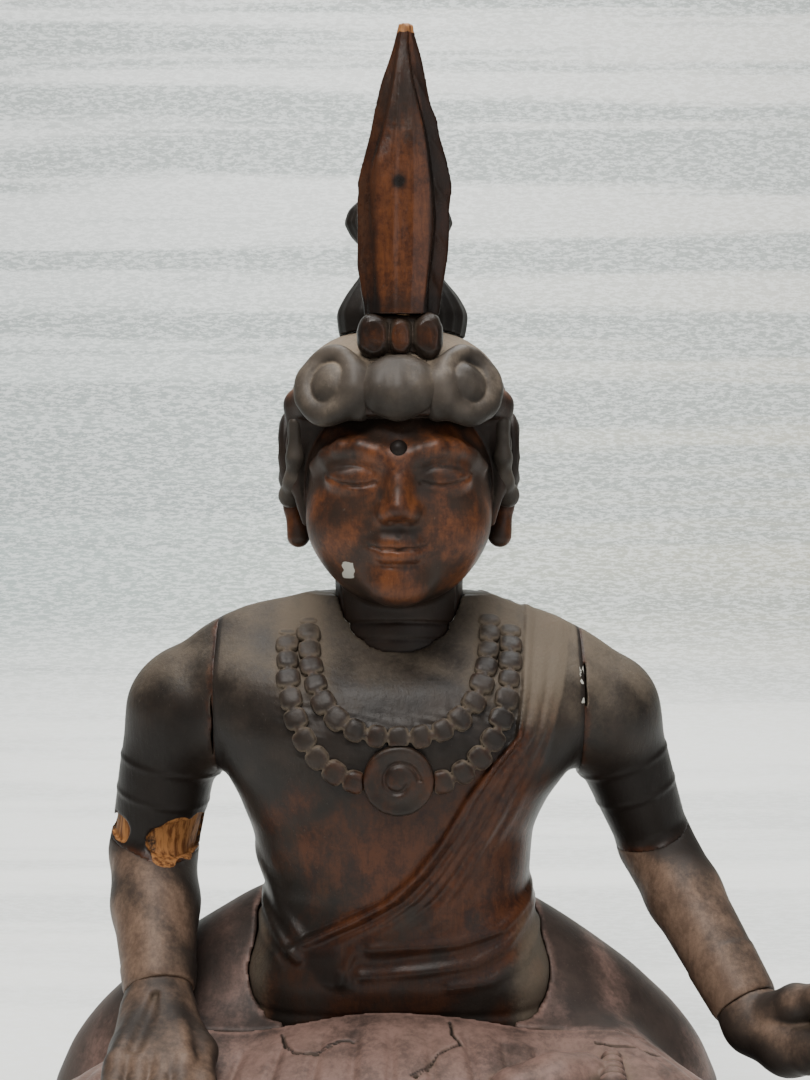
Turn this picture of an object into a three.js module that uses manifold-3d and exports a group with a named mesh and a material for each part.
// A seated wooden devotional figure, carved as a joined-block statue: the body, the lap, the head and the
// limbs are separate blocks of wood, held by dowels, tenons and iron staples and lacquered over.
// Millimetres, +Z up. The figure faces -Y, so its own left side is +X. The origin is on the base it sits on,
// under the middle of the trunk. The head, the topknot, the crown plume and the left hand are plugged in dry.
import * as THREE from "three";
import { mergeVertices } from "three/addons/utils/BufferGeometryUtils.js";
import Module from "manifold-3d";

const wasm = await Module();
wasm.setup();

// ---------------------------------------------------------------- driving dimensions

const GAP = 0.3; // glue line or running gap between neighbouring blocks
const FAR = 400; // half size of the boxes that cut space into halves

// Trunk, from the base to the top of the shoulders: height, half width, depth to the front and to the back,
// and the power of the superellipse that its outline is (2 is an ellipse, 4 a box with round corners).
const TRUNK = [
  [0, 66, 47, 44, 4.5],
  [82, 66, 47, 44, 4.5],
  [98, 64.5, 46.5, 42, 3.6],
  [108, 62.5, 45, 40, 3],
  [124, 59.5, 43, 38, 2.5],
  [150, 64, 46, 42, 2.4],
  [165, 70.5, 49, 45, 2.4],
  [178, 79, 50, 46, 2.4],
  [200, 92, 49, 48, 2.4],
  [218, 99, 40, 46, 2.3],
  [225, 98, 32, 44, 2.2],
  [232, 94, 23, 42, 2.2],
  [242, 77, 14, 37, 2.1],
  [249, 55, 9, 33, 2],
  [254, 40, 6, 30, 2],
];
const TRUNK_TOP = TRUNK.at(-1)[0];
const TRUNK_LEVELS = [0, 60, 82, 98, 110, 124, 137, 150, 164, 178, 190, 201, 211, 221, 230, 237, 243, 248.5];
const SPLIT_Y = 4; // where the front and back blocks of the trunk meet
const SHOULDER_X = 81; // the flat face where each arm is joined on
const SHOULDER_DOWELS = { y: [-12, 16], z: 207 };
const LAP_Y = -47.5; // the face where the lap block is joined on
const BACK_Y = 20; // behind this, between the hip blocks, the back block carries the seat
// The sash over the left shoulder and the belt, as raised bands of the trunk: the sash's outline from the
// front, as x and z
const SASH = {
  raised: 1.8,
  upper: [[56, 262], [56, 240], [51, 200], [37, 184], [18, 154], [-6, 127], [-38, 111]],
  lower: [[6, 103], [29, 121], [43, 146], [56, 168], [71, 215], [78, 262]],
};
const BELT = { raised: 2.4, low: 96, high: 111 };

// Seat and crossed legs under the skirt: height, half width, depth to the front and the back of HIPS_AT
const HIPS = [
  [0, 147, 58, 62],
  [12, 154, 62, 67],
  [24, 155.5, 63, 69],
  [43, 147.5, 60, 69],
  [52, 141.5, 57, 67],
  [61, 134, 54, 65],
  [68, 126, 51, 62],
  [79, 114.5, 46, 57],
  [90, 100.5, 40, 50],
  [99, 87.5, 34, 43],
  [107, 75, 28, 36],
  [115, 62, 21, 28],
  [119, 50, 15, 20],
];
const HIPS_AT = [-6, 8];
const HIPS_POWER = 2.1;
const KNEES = { right: [-119, -80, 31], left: [110, -80, 31] };
const KNEE_R = 33;
const THIGH = { x: 60, y: 0, z: 44, r: 36 };
const SHIN = { past: 14, y: -116, z: 27, kneeR: 29, ankleR: 25 };
const LAP_DOME = { at: [0, -42, 18], radii: [112, 84, 60] };
const HIP_INNER_X = 50; // the hip blocks stop here, in the corners between trunk and lap
const SEAT_X = 66.2;
const CAVITY = { halfWidth: 50, front: 30, back: 27, top: 178 };
const LAP_CAVITY = { at: [0, -50, 8], radii: [84, 56, 44], wall: 15 };
const LAP_BOARD = { halfWidth: 70, front: 92, back: LAP_Y - 18 };
const BOARD_THICKNESS = 9;
const BOARD_INSET = 3; // how much smaller the trunk's board is than its cavity

// Iron staples that tie the blocks together under the base
const STAPLE = { length: 24, leg: 10, wire: 3, recess: 0.6 };
const STAPLES = [
  { name: "lap_staple_right", at: [-40, LAP_Y + GAP / 2], along: "y" },
  { name: "lap_staple_left", at: [40, LAP_Y + GAP / 2], along: "y" },
  { name: "trunk_staple_right", at: [-58, SPLIT_Y], along: "y" },
  { name: "trunk_staple_left", at: [58, SPLIT_Y], along: "y" },
  { name: "hip_staple_right", at: [-SEAT_X, 33], along: "x" },
  { name: "hip_staple_left", at: [SEAT_X, 33], along: "x" },
];

// Head
// The dome of hair: its outline from the side is fuller than an ellipse, by this power
const HAIR = { at: [0, 0, 317], radii: [50.5, 52, 56], power: 2.8 };
const FACE = { at: [0, -12, 300], radii: [41.5, 42, 47.5] };
const HEAD_SPLIT_Y = -8;
const HEAD_DOWEL_AT = { x: 26, z: 304 };
const HAIRLINE_Z = 337;
const TEMPLE_Y = -24;
const NECK = { y: 4, halfWidth: 29, halfDepth: 27, bottom: 212, top: 276 };

// Ornaments above the head
const TOPKNOT_Y = 6;
const TOPKNOT_TIE_Z = 402;
const PLUME_X = 1.5; // the plume stands a little to the figure's left, and its tip leans further
const PLUME_LEAN = 1.6;
const PLUME_LEAN_BACK = 8;
const PLUME_Y = -36;
const PLUME_FOOT_Z = 360;
const PLUME_BAND_Z = 377;
const PLUME_TIP_Z = 499;
const TOPKNOT_PEG = { r: 5, bottom: 352, top: 388 };
const PLUME_PEG = { r: 3.4, bottom: 336, top: 384 };

// Arms: the middle of each joint and the limb's radii, for the right (-X) and the left (+X) side
const ARMS = {
  right: {
    side: -1,
    shoulder: [-101, 2, 201],
    elbow: [-114, 9, 134],
    wrist: [-104, -42, 86],
    radii: { shoulder: 23, elbow: 20.5, forearm: 20, wrist: 15 },
    deltoid: { at: [-93, 1, 202], radii: [29.5, 28, 31] },
  },
  left: {
    side: 1,
    shoulder: [94.5, 2, 201],
    elbow: [119, 9, 137],
    wrist: [149.5, -47.3, 81.8],
    radii: { shoulder: 23, elbow: 16, forearm: 17.5, wrist: 14.5 },
    deltoid: { at: [91, 1, 201], radii: [27.5, 28, 29] },
  },
};
const ELBOW_CUT = 5; // how far above the middle of the elbow the joint face lies
const DOWEL_R = 4;
const DOWEL_REACH = 11; // how far a dowel goes into each block
const WRIST_TENON_REACH = 9;

// Necklace: two strands of beads round the neck and a disc pendant. A strand hangs to a low point on the
// chest, crosses the shoulders at its half width and goes round behind the neck.
const BEAD_R = 4;
const BEAD_SIDES = 6;
const THREAD_R = 2;
const STRAND_RAISE = 3;
const CHEST_HEART = new THREE.Vector3(0, 0, 212); // the strands are raised away from this point
const INNER_STRAND = { halfWidth: 40.5, side: 250.5, low: 199, nape: 246, beads: 25 };
const OUTER_STRAND = { halfWidth: 49.5, side: 249, low: 178, nape: 235, beads: 31 };
const STRAND_POWER = 2.6; // how square the hanging curve is
const PENDANT = { at: [0, -50.5, 181], r: 15, thickness: 5 };

// ---------------------------------------------------------------- materials

const wood = (color, roughness) => new THREE.MeshStandardMaterial({ color, roughness, metalness: 0 });
const BODY_LACQUER = wood(0x4a3830, 0.55);
const FACE_LACQUER = wood(0x5a3019, 0.45);
const HAIR_LACQUER = wood(0x3a332e, 0.6);
const PLUME_WOOD = wood(0x6b3818, 0.5);
const BARE_WOOD = wood(0xb07a45, 0.75);
const IRON = new THREE.MeshStandardMaterial({ color: 0x3b3531, roughness: 0.6, metalness: 0.8 });

// ---------------------------------------------------------------- solids

const vec = (p) => new THREE.Vector3(...p);
const mirrorX = (p, side) => [p[0] * side, p[1], p[2]];

/** A closed geometry as a manifold-3d solid. */
function solid(geometry) {
  const bare = geometry.clone();
  bare.deleteAttribute("normal");
  bare.deleteAttribute("uv");
  const merged = mergeVertices(bare, 1e-4);
  return new wasm.Manifold(
    new wasm.Mesh({
      numProp: 3,
      vertProperties: merged.attributes.position.array,
      triVerts: new Uint32Array(merged.index.array),
    }),
  );
}

/** A manifold-3d solid as a geometry, flat shaded. */
function geometryOf(shape) {
  const mesh = shape.getMesh();
  const indexed = new THREE.BufferGeometry();
  indexed.setAttribute("position", new THREE.BufferAttribute(mesh.vertProperties, 3));
  indexed.setIndex(new THREE.BufferAttribute(mesh.triVerts, 1));
  const flat = indexed.toNonIndexed();
  flat.computeVertexNormals();
  return flat;
}

const union = (...shapes) => shapes.reduce((all, shape) => all.add(shape));

/** The largest connected body of a solid, without the crumbs that cuts leave. */
function mainBody(shape) {
  return shape.decompose().reduce((a, b) => (b.volume() > a.volume() ? b : a));
}

function box(low, high) {
  const size = high.map((h, i) => h - low[i]);
  const middle = high.map((h, i) => (h + low[i]) / 2);
  return solid(new THREE.BoxGeometry(...size).translate(...middle));
}

/** Everything on one side of a plane: point on it, and the direction that is kept. */
function halfSpace(point, direction) {
  const up = new THREE.Vector3(0, 0, 1);
  const turn = new THREE.Quaternion().setFromUnitVectors(up, vec(direction).normalize());
  const block = new THREE.BoxGeometry(2 * FAR, 2 * FAR, 2 * FAR).translate(0, 0, FAR);
  return solid(block.applyQuaternion(turn).translate(...point));
}

function ellipsoid(at, radii, grow = 0, around = 20, rings = 12) {
  const [rx, ry, rz] = radii.map((r) => r + grow);
  const ball = new THREE.SphereGeometry(1, around, rings).rotateX(Math.PI / 2);
  return solid(ball.scale(rx, ry, rz).translate(...at));
}

/** A limb with round ends: a lathed outline of two quarter arcs, laid from one point to another. */
function limb(from, to, r0, r1, grow = 0, around = 14, steps = 3) {
  const axis = vec(to).sub(vec(from));
  const length = axis.length();
  const outline = [];
  for (let i = 0; i <= steps; i++) {
    const turn = (i / steps - 1) * (Math.PI / 2);
    outline.push(new THREE.Vector2(Math.cos(turn) * (r0 + grow), Math.sin(turn) * (r0 + grow)));
  }
  for (let i = 0; i <= steps; i++) {
    const turn = (i / steps) * (Math.PI / 2);
    outline.push(new THREE.Vector2(Math.cos(turn) * (r1 + grow), length + Math.sin(turn) * (r1 + grow)));
  }
  outline[0].x = 0;
  outline.at(-1).x = 0;
  const turn = new THREE.Quaternion().setFromUnitVectors(new THREE.Vector3(0, 1, 0), axis.normalize());
  const lathed = new THREE.LatheGeometry(outline, around);
  return solid(lathed.applyQuaternion(turn).translate(...from));
}

/** A chain of limbs through points, each a list of x, y, z and radius. */
function chain(points, around = 8, steps = 2) {
  const links = points.slice(1).map((to, i) => {
    const from = points[i];
    return limb(from.slice(0, 3), to.slice(0, 3), from[3], to[3], 0, around, steps);
  });
  return union(...links);
}

/** A round peg or hole along any line. */
function peg(from, to, radius, around = 12) {
  const axis = vec(to).sub(vec(from));
  const length = axis.length();
  const turn = new THREE.Quaternion().setFromUnitVectors(new THREE.Vector3(0, 1, 0), axis.normalize());
  const rod = new THREE.CylinderGeometry(radius, radius, length, around).translate(0, length / 2, 0);
  return solid(rod.applyQuaternion(turn).translate(...from));
}

/** A closed skin over rings of points, the lowest ring first, with flat ends. */
function loft(rings) {
  const around = rings[0].length;
  const positions = [];
  const index = [];
  rings.forEach((ring) => ring.forEach((p) => positions.push(p.x, p.y, p.z)));
  for (let k = 0; k + 1 < rings.length; k++) {
    for (let i = 0; i < around; i++) {
      const next = (i + 1) % around;
      const [a, b] = [k * around + i, k * around + next];
      const [c, d] = [a + around, b + around];
      index.push(a, b, d, a, d, c);
    }
  }
  const cap = (ring, first, upwards) => {
    const middle = ring.reduce((sum, p) => sum.add(p), new THREE.Vector3()).divideScalar(around);
    const centre = positions.length / 3;
    positions.push(middle.x, middle.y, middle.z);
    for (let i = 0; i < around; i++) {
      const [a, b] = [first + i, first + ((i + 1) % around)];
      index.push(...(upwards ? [a, b, centre] : [b, a, centre]));
    }
  };
  cap(rings[0], 0, false);
  cap(rings.at(-1), (rings.length - 1) * around, true);
  const skin = new THREE.BufferGeometry();
  skin.setAttribute("position", new THREE.Float32BufferAttribute(positions, 3));
  skin.setIndex(index);
  return solid(skin);
}

/** A level superellipse ring about (x, y), seen from above, anticlockwise. */
function ring({ z, halfWidth, front, back = front, power = 2, x = 0, y = 0, around = 24 }) {
  const points = [];
  for (let i = 0; i < around; i++) {
    const turn = (i / around) * 2 * Math.PI;
    const [c, s] = [Math.cos(turn), Math.sin(turn)];
    const reach = (v) => Math.sign(v) * Math.abs(v) ** (2 / power);
    points.push(new THREE.Vector3(x + halfWidth * reach(c), y + (s < 0 ? front : back) * reach(s), z));
  }
  return points;
}

// ---------------------------------------------------------------- the trunk's surface

const trunkStations = new THREE.CubicInterpolant(
  TRUNK.map((s) => s[0]),
  TRUNK.flatMap((s) => s.slice(1)),
  4,
);

function trunkAt(z) {
  const [halfWidth, front, back, power] = trunkStations.evaluate(THREE.MathUtils.clamp(z, 0, TRUNK_TOP));
  return { halfWidth, front, back, power };
}

function bareTrunk(grow = 0) {
  const level = (z, raise) => {
    const { halfWidth, front, back, power } = trunkAt(z);
    return ring({ z: z + raise, halfWidth: halfWidth + grow, front: front + grow, back: back + grow, power });
  };
  return loft([...TRUNK_LEVELS.map((z) => level(z, 0)), level(TRUNK_TOP, grow)]);
}

/** The trunk with the raised sash and belt on it. */
function trunk(grow = 0) {
  const { raised, upper, lower } = SASH;
  const outline = new THREE.Shape([...upper, ...lower].map(([x, z]) => new THREE.Vector2(x, z)));
  const band = new THREE.ExtrudeGeometry(outline, { depth: 2 * FAR, bevelEnabled: false });
  const sash = bareTrunk(raised + grow).intersect(solid(band.rotateX(Math.PI / 2).translate(0, FAR, 0)));
  const beltZone = box([-FAR, -FAR, BELT.low - grow], [FAR, FAR, BELT.high]);
  const belt = bareTrunk(BELT.raised + grow).intersect(beltZone);
  return union(bareTrunk(grow), sash, belt);
}

/** The point of the trunk's surface at x and z, on its front (-1) or its back (1). */
function onTrunk(x, z, face) {
  const { halfWidth, front, back, power } = trunkAt(z);
  const share = Math.max(0, 1 - Math.abs(x / halfWidth) ** power) ** (1 / power);
  return new THREE.Vector3(x, face < 0 ? -front * share : back * share, z);
}

// ---------------------------------------------------------------- seat and crossed legs

function legs() {
  const [x, y] = HIPS_AT;
  const rings = HIPS.map(([z, halfWidth, front, back]) =>
    ring({ z, halfWidth, front, back, x, y, power: HIPS_POWER, around: 28 }),
  );
  const each = Object.values(KNEES).flatMap((knee) => {
    const side = Math.sign(knee[0]);
    return [
      limb([side * THIGH.x, THIGH.y, THIGH.z], knee, THIGH.r, KNEE_R, 0, 16, 4),
      limb(knee, [-side * SHIN.past, SHIN.y, SHIN.z], SHIN.kneeR, SHIN.ankleR, 0, 14, 3),
    ];
  });
  const aboveBase = halfSpace([0, 0, 0], [0, 0, 1]);
  return union(loft(rings), ellipsoid(LAP_DOME.at, LAP_DOME.radii, 0, 24, 12), ...each).intersect(aboveBase);
}

/** The right foot, sole up on the left thigh, with its toes outwards. */
function restingFoot() {
  const sole = limb([36, -94, 60], [80, -84, 66], 14, 14, 0, 10, 2);
  const toes = [0, 1, 2, 3].map((i) => {
    const size = 6.5 - 0.6 * i;
    return ellipsoid([92 - 2 * i, -96 + 8.5 * i, 67], [size + 3, size, size], 0, 6, 4);
  });
  return union(sole, ...toes);
}

function lapCavity() {
  const { at, radii, wall } = LAP_CAVITY;
  return ellipsoid(at, radii, 0, 18, 8).intersect(halfSpace([0, LAP_Y - wall, 0], [0, -1, 0]));
}

function lapBoard(grow) {
  const { halfWidth, front, back } = LAP_BOARD;
  const plan = new THREE.Shape();
  plan.absellipse(0, back, halfWidth + grow, front + back + grow, Math.PI, 2 * Math.PI);
  plan.lineTo(halfWidth + grow, back + grow);
  plan.lineTo(-halfWidth - grow, back + grow);
  const depth = BOARD_THICKNESS + grow;
  return solid(new THREE.ExtrudeGeometry(plan, { depth, bevelEnabled: false, curveSegments: 16 }));
}

function trunkBoard(grow) {
  const { halfWidth, front, back } = CAVITY;
  const inset = grow - BOARD_INSET;
  const at = (z) => ring({ z, halfWidth: halfWidth + inset, front: front + inset, back: back + inset });
  return loft([at(0), at(BOARD_THICKNESS + grow)]);
}

function trunkCavity() {
  const { halfWidth, front, back, top } = CAVITY;
  const levels = [
    [BOARD_THICKNESS + GAP, 1],
    [top - 40, 1],
    [top - 14, 0.86],
    [top, 0.4],
  ];
  const rings = levels.map(([z, share]) =>
    ring({ z, halfWidth: halfWidth * share, front: front * share, back: back * share, around: 18 }),
  );
  return loft(rings);
}

// ---------------------------------------------------------------- iron staples under the base

/** A square-wire staple driven up into the base, its bar just below the surface. */
function staple({ at, along }, grow = 0) {
  const { length, leg, wire, recess } = STAPLE;
  const [half, top, bar] = [length / 2 + grow, recess + leg + grow, recess + wire + grow];
  const inner = length / 2 - wire - grow;
  const bottom = grow > 0 ? -1 : recess;
  const outline = new THREE.Shape(
    [
      [-half, bottom],
      [half, bottom],
      [half, top],
      [inner, top],
      [inner, bar],
      [-inner, bar],
      [-inner, top],
      [-half, top],
    ].map(([x, y]) => new THREE.Vector2(x, y)),
  );
  const width = wire + 2 * grow;
  const shape = new THREE.ExtrudeGeometry(outline, { depth: width, bevelEnabled: false });
  shape.translate(0, 0, -width / 2).rotateX(Math.PI / 2);
  if (along === "y") shape.rotateZ(Math.PI / 2);
  return solid(shape.translate(at[0], at[1], 0));
}

const staplePockets = union(...STAPLES.map((s) => staple(s, GAP)));

// ---------------------------------------------------------------- limbs

const between = (a, b, share) => vec(a).lerp(vec(b), share).toArray();
const direction = (a, b) => vec(b).sub(vec(a)).normalize();
const along = (point, way, distance) => vec(point).addScaledVector(way, distance).toArray();

function dowelLine(point, way, reach = DOWEL_REACH) {
  return [along(point, way, -reach), along(point, way, reach)];
}

function dowelHole([from, to]) {
  const way = direction(from, to);
  return peg(along(from, way, -GAP), along(to, way, GAP), DOWEL_R + GAP);
}

function armJoints({ side, shoulder, elbow, wrist }) {
  const upper = direction(shoulder, elbow);
  const fore = direction(elbow, wrist);
  const outwards = new THREE.Vector3(side, 0, 0);
  return {
    upper,
    fore,
    elbowFace: along(elbow, upper, -ELBOW_CUT),
    shoulderDowels: SHOULDER_DOWELS.y.map((y) =>
      dowelLine([side * SHOULDER_X, y, SHOULDER_DOWELS.z], outwards),
    ),
    elbowDowel: dowelLine(along(elbow, upper, -ELBOW_CUT), upper),
    wristDowel: dowelLine(wrist, fore, WRIST_TENON_REACH),
  };
}

function arm(which) {
  const { side, shoulder, elbow, wrist, radii, deltoid } = ARMS[which];
  const joints = armJoints(ARMS[which]);
  const muscle = ellipsoid(deltoid.at, deltoid.radii, 0, 16, 10);
  const upperLimb = limb(shoulder, elbow, radii.shoulder, radii.elbow, 0, 14, 3);
  const belly = between(elbow, wrist, 0.35);
  const forearmLimb = union(
    limb(elbow, belly, radii.forearm, radii.forearm - 0.3, 0, 14, 3),
    limb(belly, along(wrist, joints.fore, 6), radii.forearm - 0.3, radii.wrist, 0, 14, 3),
  );

  const outside = halfSpace([side * (SHOULDER_X + GAP), 0, 0], [side, 0, 0]);
  const aboveElbow = halfSpace(joints.elbowFace, joints.upper.clone().negate().toArray());
  const belowElbow = halfSpace(along(joints.elbowFace, joints.upper, GAP), joints.upper.toArray());
  const beforeWrist = halfSpace(wrist, joints.fore.clone().negate().toArray());

  const sockets = union(...joints.shoulderDowels.map(dowelHole), dowelHole(joints.elbowDowel));
  const shoulderZone = outside.intersect(aboveElbow);
  const upperArm = union(trunk(), muscle, upperLimb).intersect(shoulderZone).subtract(sockets);
  const forearm = union(upperLimb, forearmLimb)
    .intersect(belowElbow)
    .intersect(beforeWrist)
    .subtract(union(dowelHole(joints.elbowDowel), dowelHole(joints.wristDowel)));
  return { upperArm: mainBody(upperArm), forearm: mainBody(forearm), joints };
}

/** Palm down on the right knee, the fingers resting on the shin. */
function rightHand() {
  const { wrist } = ARMS.right;
  const { fore } = armJoints(ARMS.right);
  const palm = union(
    chain([[-105, -50, 80, 13], [-108, -84, 71, 8.5]], 10),
    chain([[-103, -50, 80, 13], [-91, -82, 71, 8.5]], 10),
    limb([-112, -86, 70], [-86, -84, 70], 7.5, 7.5, 0, 8, 2),
  );
  const fingers = [0, 1, 2, 3].map((i) => {
    const x = -114 + i * 10;
    const reach = [0, 5, 6, 2][i];
    return chain([[x, -88, 69, 6.2], [x, -104 - reach / 2, 63, 5.4], [x + 0.5, -117 - reach, 51, 4.6]], 7, 1);
  });
  const thumb = chain([[-93, -58, 76, 7.5], [-82, -75, 70, 7], [-78, -95, 63, 5.4]], 7, 1);
  const wristEnd = limb(along(wrist, fore, -8), along(wrist, fore, 9), 15, 13, 0, 12, 2);
  const afterWrist = halfSpace(along(wrist, fore, GAP), fore.toArray());
  return union(wristEnd, palm, thumb, ...fingers).intersect(afterWrist);
}

/** Palm up over the left knee, the fingers curling upwards as if round a small globe. */
function leftHand() {
  const { wrist } = ARMS.left;
  const { fore } = armJoints(ARMS.left);
  const palm = union(
    chain([[152, -53, 76, 13.5], [165, -60, 73, 13], [187, -64, 80, 9]], 10),
    chain([[153, -55, 76, 13], [163, -68, 72.5, 12.5], [175, -86, 78, 9]], 10),
  );
  const fingers = [0, 1, 2, 3].map((i) => {
    const x = 189 - i * 5;
    const y = -62 - i * 8;
    const curl = [0, 3, 3, 0][i];
    const middle = [x + 12, y - 7, 92 - curl / 2, 5.2];
    return chain([[x, y, 80, 6.5], middle, [x + 12 + curl / 2, y - 9, 108 + curl, 4.4]], 7, 1);
  });
  const thumb = chain([[158, -62, 84, 9], [170, -74, 93, 7.6], [180, -88, 105, 5]], 7, 1);
  const wristEnd = limb(along(wrist, fore, -8), along(wrist, fore, 7), 14.5, 13, 0, 12, 2);
  const afterWrist = halfSpace(along(wrist, fore, GAP), fore.toArray());
  return union(wristEnd, palm, thumb, ...fingers).intersect(afterWrist);
}

// ---------------------------------------------------------------- head

/** The dome of the hair: round from above, with full shoulders from the side. */
function hair(grow = 0) {
  const { at, radii, power } = HAIR;
  const ball = new THREE.SphereGeometry(1, 24, 14).rotateX(Math.PI / 2);
  const place = ball.attributes.position;
  for (let i = 0; i < place.count; i++) {
    const p = new THREE.Vector3().fromBufferAttribute(place, i);
    if (p.z > 0) p.divideScalar((Math.hypot(p.x, p.y) ** power + p.z ** power) ** (1 / power));
    place.setXYZ(i, p.x, p.y, p.z);
  }
  const [rx, ry, rz] = radii.map((r) => r + grow);
  return solid(ball.scale(rx, ry, rz).translate(...at));
}

const face = (grow = 0) => ellipsoid(FACE.at, FACE.radii, grow, 22, 14);

function neck(grow = 0) {
  const { y, halfWidth, halfDepth, bottom, top } = NECK;
  const level = (z) => ring({ z, halfWidth: halfWidth + grow, front: halfDepth + grow, y, around: 20 });
  return loft([level(bottom - grow), level(top)]);
}

function headBlocks() {
  const hairZone = union(
    halfSpace([0, 0, HAIRLINE_Z], [0, 0, 1]),
    halfSpace([0, TEMPLE_Y, 0], [0, 1, 0]),
  );
  const nose = limb([0, -49, 310], [0, -55.5, 293], 2.5, 5, 0, 8, 2);
  const head = union(hair().intersect(hairZone), face(), nose, neck());
  const sockets = union(
    topknotSocket(TOPKNOT_TIE_Z),
    plumeSocket(TOPKNOT_TIE_Z),
    ...HEAD_DOWELS.map(dowelHole),
  );
  const front = halfSpace([0, HEAD_SPLIT_Y - GAP, 0], [0, -1, 0]);
  const back = halfSpace([0, HEAD_SPLIT_Y, 0], [0, 1, 0]);
  return {
    front: mainBody(head.intersect(front).subtract(sockets)),
    back: mainBody(head.intersect(back).subtract(sockets)),
  };
}

const HEAD_DOWELS = [-1, 1].map((side) => [
  [side * HEAD_DOWEL_AT.x, HEAD_SPLIT_Y - DOWEL_REACH, HEAD_DOWEL_AT.z],
  [side * HEAD_DOWEL_AT.x, HEAD_SPLIT_Y + DOWEL_REACH, HEAD_DOWEL_AT.z],
]);

function ear(side, grow = 0) {
  const shell = ellipsoid(mirrorX([50.5, -1, 318], side), [5, 11, 18], grow, 10, 8);
  const lobe = limb(mirrorX([49, -2, 306], side), mirrorX([44, -4, 279.5], side), 4.6, 6, grow, 8, 2);
  return union(shell, lobe);
}

/** The strand of hair that leaves the temple and crosses the ear. */
function sideLock(side) {
  const path = new THREE.CatmullRomCurve3(
    [
      [39, -31, 326],
      [44, -26, 313],
      [47.5, -17, 303.5],
      [49.5, -7, 299],
      [48, 3, 298],
    ].map((p) => vec(mirrorX(p, side))),
  );
  const section = new THREE.Shape().absellipse(0, 0, 4.2, 4.2, 0, 2 * Math.PI);
  return solid(new THREE.ExtrudeGeometry(section, { steps: 7, curveSegments: 4, extrudePath: path }));
}

/** A front curl: a thick roll that turns in on a round boss, facing outwards and up from the hair. */
function hairScroll(side) {
  const roll = new THREE.TorusGeometry(11.4, 4.4, 6, 16);
  const boss = new THREE.SphereGeometry(1, 10, 6).scale(8.6, 8.6, 7);
  const facing = new THREE.Quaternion().setFromUnitVectors(
    new THREE.Vector3(0, 0, 1),
    new THREE.Vector3(side * 0.42, -0.82, 0.3).normalize(),
  );
  const place = (g) => solid(g.applyQuaternion(facing).translate(side * 29.5, -44, 347));
  return union(place(roll), place(boss));
}

const centreLobe = (grow = 0) => ellipsoid([0, -47.5, 347], [14.2, 10.5, 12.5], grow, 12, 8);

// ---------------------------------------------------------------- topknot and crown plume

const topknotSocket = (top) =>
  peg([0, TOPKNOT_Y, TOPKNOT_PEG.bottom - GAP], [0, TOPKNOT_Y, top], TOPKNOT_PEG.r + GAP);
const plumeSocket = (top) =>
  peg([PLUME_X, PLUME_Y, PLUME_PEG.bottom - GAP], [PLUME_X, PLUME_Y, top], PLUME_PEG.r + GAP);

/** A bundle of hair as a lathed outline with vertical lobes. */
function hairBundle(outline, lobes, depthShare) {
  const around = 20;
  const rings = outline.map(([z, radius]) => {
    const points = [];
    for (let i = 0; i < around; i++) {
      const turn = (i / around) * 2 * Math.PI;
      const r = radius * (1 + 0.06 * Math.cos(lobes * turn));
      points.push(new THREE.Vector3(r * Math.cos(turn), TOPKNOT_Y + r * Math.sin(turn) * depthShare, z));
    }
    return points;
  });
  return loft(rings);
}

function topknotLower() {
  const bundle = hairBundle(
    [
      [358, 20],
      [368, 26.5],
      [379, 28.6],
      [388, 25],
      [396, 18.5],
      [TOPKNOT_TIE_Z, 14.5],
    ],
    5,
    0.85,
  );
  return bundle.subtract(hair(GAP)).subtract(topknotSocket(TOPKNOT_PEG.top + GAP));
}

function topknotUpper() {
  return hairBundle(
    [
      [TOPKNOT_TIE_Z + GAP, 14],
      [408, 19.8],
      [415, 22.6],
      [423, 21],
      [431, 15],
      [437, 6],
    ],
    10,
    0.85,
  );
}

/** The tall blade: a leaf outline with a flat face and chamfered flanks, leaning back a little. */
function crownPlume() {
  const outline = [
    [PLUME_BAND_Z + GAP, 16],
    [388, 17.2],
    [400, 18.8],
    [418, 19.6],
    [432, 19.4],
    [446, 17.2],
    [460, 13.8],
    [474, 10],
    [488, 6],
    [PLUME_TIP_Z, 2.6],
  ];
  const rings = outline.map(([z, w]) => {
    const rise = (z - PLUME_BAND_Z) / (PLUME_TIP_Z - PLUME_BAND_Z);
    const middleX = PLUME_X + PLUME_LEAN * rise;
    const y = PLUME_Y + PLUME_LEAN_BACK * rise;
    const thick = 8 * (1 - 0.72 * rise);
    const section = [
      [w, 0.1],
      [w * 0.62, 0.8],
      [0, 1],
      [-w * 0.62, 0.8],
      [-w, 0.1],
      [-w * 0.6, -0.85],
      [0, -1],
      [w * 0.6, -0.85],
    ];
    return section.map(([x, share]) => new THREE.Vector3(middleX + x, y + share * thick, z));
  });
  return loft(rings).subtract(plumeSocket(PLUME_PEG.top + GAP));
}

/** The plume's foot: a low band with three round bosses. */
function crownBand() {
  const low = [PLUME_X - 14.5, PLUME_Y - 6, PLUME_FOOT_Z - 3];
  const bar = box(low, [PLUME_X + 14.5, PLUME_Y + 7, PLUME_BAND_Z]);
  const bosses = [-11.5, 0, 11.5].map((x) =>
    ellipsoid([PLUME_X + x, PLUME_Y - 3, PLUME_FOOT_Z + 8], [6.8, 7, 8.2], 0, 12, 8),
  );
  const below = halfSpace([0, 0, PLUME_BAND_Z], [0, 0, -1]);
  const taken = union(hair(GAP), centreLobe(GAP), plumeSocket(TOPKNOT_TIE_Z));
  return union(bar, ...bosses).intersect(below).subtract(taken);
}

// ---------------------------------------------------------------- necklace

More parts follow.
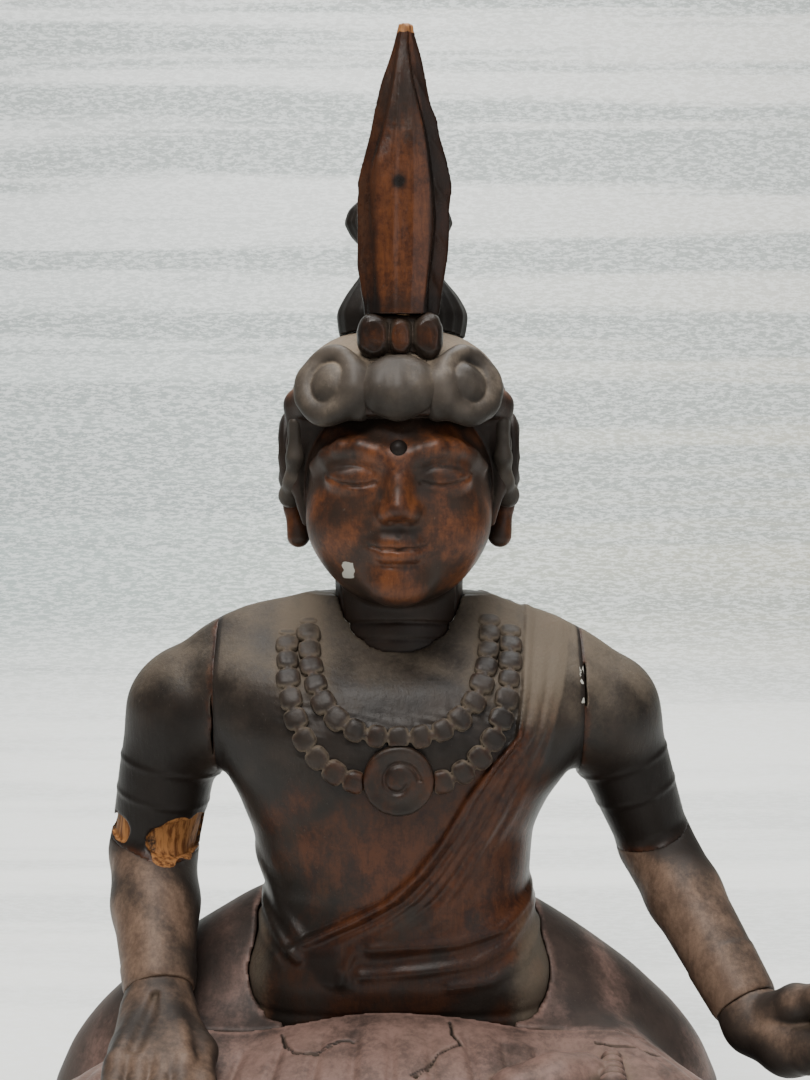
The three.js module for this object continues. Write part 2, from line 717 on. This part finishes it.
/** A closed strand of beads, half sunk in the chest and the shoulders. */
function strand({ halfWidth, side, low, nape, beads }) {
  const guide = [];
  const stops = 24;
  for (let i = 0; i < stops; i++) {
    const turn = (i / stops) * 2 * Math.PI;
    const face = Math.cos(turn) > 0 ? -1 : 1;
    const end = face < 0 ? low : nape;
    const x = halfWidth * Math.sin(turn);
    const hang = (1 - Math.abs(Math.sin(turn)) ** STRAND_POWER) ** (1 / STRAND_POWER);
    const point = onTrunk(x, side - (side - end) * hang, face);
    guide.push(point.add(point.clone().sub(CHEST_HEART).setLength(STRAND_RAISE)));
  }
  return beadTube(new THREE.CatmullRomCurve3(guide, true), beads).subtract(trunkClear).subtract(neckClear);
}

/** A closed tube that swells at every bead and narrows to the thread between them. */
function beadTube(path, beads) {
  const radii = [THREAD_R, BEAD_R, BEAD_R];
  const stops = beads * radii.length;
  const { normals, binormals } = path.computeFrenetFrames(stops, true);
  const positions = [];
  const index = [];
  for (let k = 0; k < stops; k++) {
    const middle = path.getPointAt(k / stops);
    for (let i = 0; i < BEAD_SIDES; i++) {
      const turn = (i / BEAD_SIDES) * 2 * Math.PI;
      const p = middle.clone().addScaledVector(normals[k], radii[k % radii.length] * Math.cos(turn));
      positions.push(...p.addScaledVector(binormals[k], radii[k % radii.length] * Math.sin(turn)).toArray());
      const next = (i + 1) % BEAD_SIDES;
      const after = ((k + 1) % stops) * BEAD_SIDES;
      const [a, b, c, d] = [k * BEAD_SIDES + i, k * BEAD_SIDES + next, after + i, after + next];
      index.push(a, b, d, a, d, c);
    }
  }
  const tube = new THREE.BufferGeometry();
  tube.setAttribute("position", new THREE.Float32BufferAttribute(positions, 3));
  tube.setIndex(index);
  return solid(tube);
}

function pendant(grow = 0) {
  const { at, r, thickness } = PENDANT;
  const half = thickness / 2 + grow;
  const outline = [
    new THREE.Vector2(0, -half),
    new THREE.Vector2(r + grow, -half),
    new THREE.Vector2(r + grow, half - 1.5),
    new THREE.Vector2(r - 1.5 + grow, half),
    new THREE.Vector2(0, half),
  ];
  return solid(new THREE.LatheGeometry(outline, 24).translate(...at));
}

// ---------------------------------------------------------------- assembly

const figure = new THREE.Group();

function add(name, shape, material) {
  const mesh = new THREE.Mesh(geometryOf(shape), material);
  mesh.name = name;
  figure.add(mesh);
}

const trunkSolid = trunk();
const trunkClear = trunk(GAP);
const legsSolid = legs();
const neckClear = neck(GAP);
const headClear = union(hair(GAP), face(GAP), neckClear);
const arms = { right: arm("right"), left: arm("left") };

function addTrunk() {
  const inArms = box([-SHOULDER_X, -FAR, 0], [SHOULDER_X, FAR, FAR]);
  const seat = legsSolid.intersect(box([-SEAT_X, BACK_Y + GAP, -1], [SEAT_X, FAR, FAR]));
  const shoulderHoles = Object.values(arms).flatMap(({ joints }) => joints.shoulderDowels.map(dowelHole));
  const neckSocket = neckClear.add(neckClear.translate([0, 0, 40]));
  const hollow = union(trunkCavity(), trunkBoard(GAP), staplePockets, neckSocket, ...shoulderHoles);
  const core = trunkSolid.intersect(inArms);
  const front = core.intersect(halfSpace([0, SPLIT_Y - GAP / 2, 0], [0, -1, 0])).subtract(hollow);
  const back = core.add(seat).intersect(halfSpace([0, SPLIT_Y + GAP / 2, 0], [0, 1, 0])).subtract(hollow);
  add("trunk_front", mainBody(front), BODY_LACQUER);
  add("trunk_back", mainBody(back), BODY_LACQUER);
  add("trunk_base_board", trunkBoard(0), BARE_WOOD);
}

function addSeat() {
  const inFront = halfSpace([0, LAP_Y, 0], [0, -1, 0]);
  const behind = halfSpace([0, LAP_Y + GAP, 0], [0, 1, 0]);
  const seatZone = box([-SEAT_X - GAP, BACK_Y, -1], [SEAT_X + GAP, FAR, FAR]);
  const lap = union(legsSolid, restingFoot())
    .intersect(inFront)
    .intersect(halfSpace([0, 0, 0], [0, 0, 1]))
    .subtract(trunkClear)
    .subtract(union(lapCavity(), lapBoard(GAP), staplePockets));
  add("lap_block", mainBody(lap), BODY_LACQUER);
  add("lap_base_board", lapBoard(0), BARE_WOOD);
  for (const [name, side] of [["right_hip_block", -1], ["left_hip_block", 1]]) {
    const hip = legsSolid
      .intersect(behind)
      .intersect(halfSpace([side * HIP_INNER_X, 0, 0], [side, 0, 0]))
      .subtract(trunkClear)
      .subtract(seatZone)
      .subtract(staplePockets);
    add(name, mainBody(hip), BODY_LACQUER);
  }
  for (const one of STAPLES) add(one.name, staple(one), IRON);
}

function addArms() {
  for (const which of ["right", "left"]) {
    const { upperArm, forearm, joints } = arms[which];
    add(`${which}_upper_arm`, upperArm, BODY_LACQUER);
    add(`${which}_forearm`, forearm.subtract(legsSolid), BODY_LACQUER);
    add(`${which}_shoulder_dowel_front`, peg(...joints.shoulderDowels[0], DOWEL_R), BARE_WOOD);
    add(`${which}_shoulder_dowel_back`, peg(...joints.shoulderDowels[1], DOWEL_R), BARE_WOOD);
    add(`${which}_elbow_dowel`, peg(...joints.elbowDowel, DOWEL_R), BARE_WOOD);
    add(`${which}_wrist_tenon`, peg(...joints.wristDowel, DOWEL_R), BARE_WOOD);
  }
  const legsGrown = union(legsSolid, legsSolid.translate([0, 0, GAP]), legsSolid.translate([0, -GAP, 0]));
  const right = rightHand().subtract(dowelHole(arms.right.joints.wristDowel)).subtract(legsGrown);
  add("right_hand", mainBody(right), BODY_LACQUER);
  add("left_hand", leftHand().subtract(dowelHole(arms.left.joints.wristDowel)), BODY_LACQUER);
}

function addHead() {
  const { front, back } = headBlocks();
  add("head_front", front, FACE_LACQUER);
  add("head_back", back, HAIR_LACQUER);
  add("forehead_jewel", ellipsoid([0, -51, 321], [4, 4, 4], 0, 10, 6).subtract(headClear), HAIR_LACQUER);
  for (const [name, side] of [["right", -1], ["left", 1]]) {
    add(`${name}_ear`, mainBody(ear(side).subtract(headClear)), HAIR_LACQUER);
    const lock = sideLock(side).subtract(headClear).subtract(ear(side, GAP));
    add(`${name}_side_lock`, mainBody(lock), HAIR_LACQUER);
    add(`${name}_hair_scroll`, mainBody(hairScroll(side).subtract(headClear)), HAIR_LACQUER);
  }
  const lobe = centreLobe().subtract(headClear).subtract(plumeSocket(TOPKNOT_TIE_Z));
  add("centre_hair_lobe", mainBody(lobe), HAIR_LACQUER);
  add("head_dowel_right", peg(...HEAD_DOWELS[0], DOWEL_R), BARE_WOOD);
  add("head_dowel_left", peg(...HEAD_DOWELS[1], DOWEL_R), BARE_WOOD);
}

function addOrnaments() {
  add("topknot_lower", mainBody(topknotLower()), HAIR_LACQUER);
  add("topknot_upper", topknotUpper(), HAIR_LACQUER);
  const topknotPeg = peg([0, TOPKNOT_Y, TOPKNOT_PEG.bottom], [0, TOPKNOT_Y, TOPKNOT_PEG.top], TOPKNOT_PEG.r);
  add("topknot_peg", topknotPeg, BARE_WOOD);
  add("crown_band", mainBody(crownBand()), PLUME_WOOD);
  add("crown_plume", crownPlume(), PLUME_WOOD);
  const plumePeg = peg([PLUME_X, PLUME_Y, PLUME_PEG.bottom], [PLUME_X, PLUME_Y, PLUME_PEG.top], PLUME_PEG.r);
  add("plume_peg", plumePeg, BARE_WOOD);
}

function addNecklace() {
  const pendantClear = pendant(GAP);
  add("necklace_inner_strand", mainBody(strand(INNER_STRAND).subtract(pendantClear)), BODY_LACQUER);
  add("necklace_outer_strand", mainBody(strand(OUTER_STRAND).subtract(pendantClear)), BODY_LACQUER);
  add("necklace_pendant", mainBody(pendant().subtract(trunkClear)), BODY_LACQUER);
}

addTrunk();
addSeat();
addArms();
addHead();
addOrnaments();
addNecklace();

export default figure;
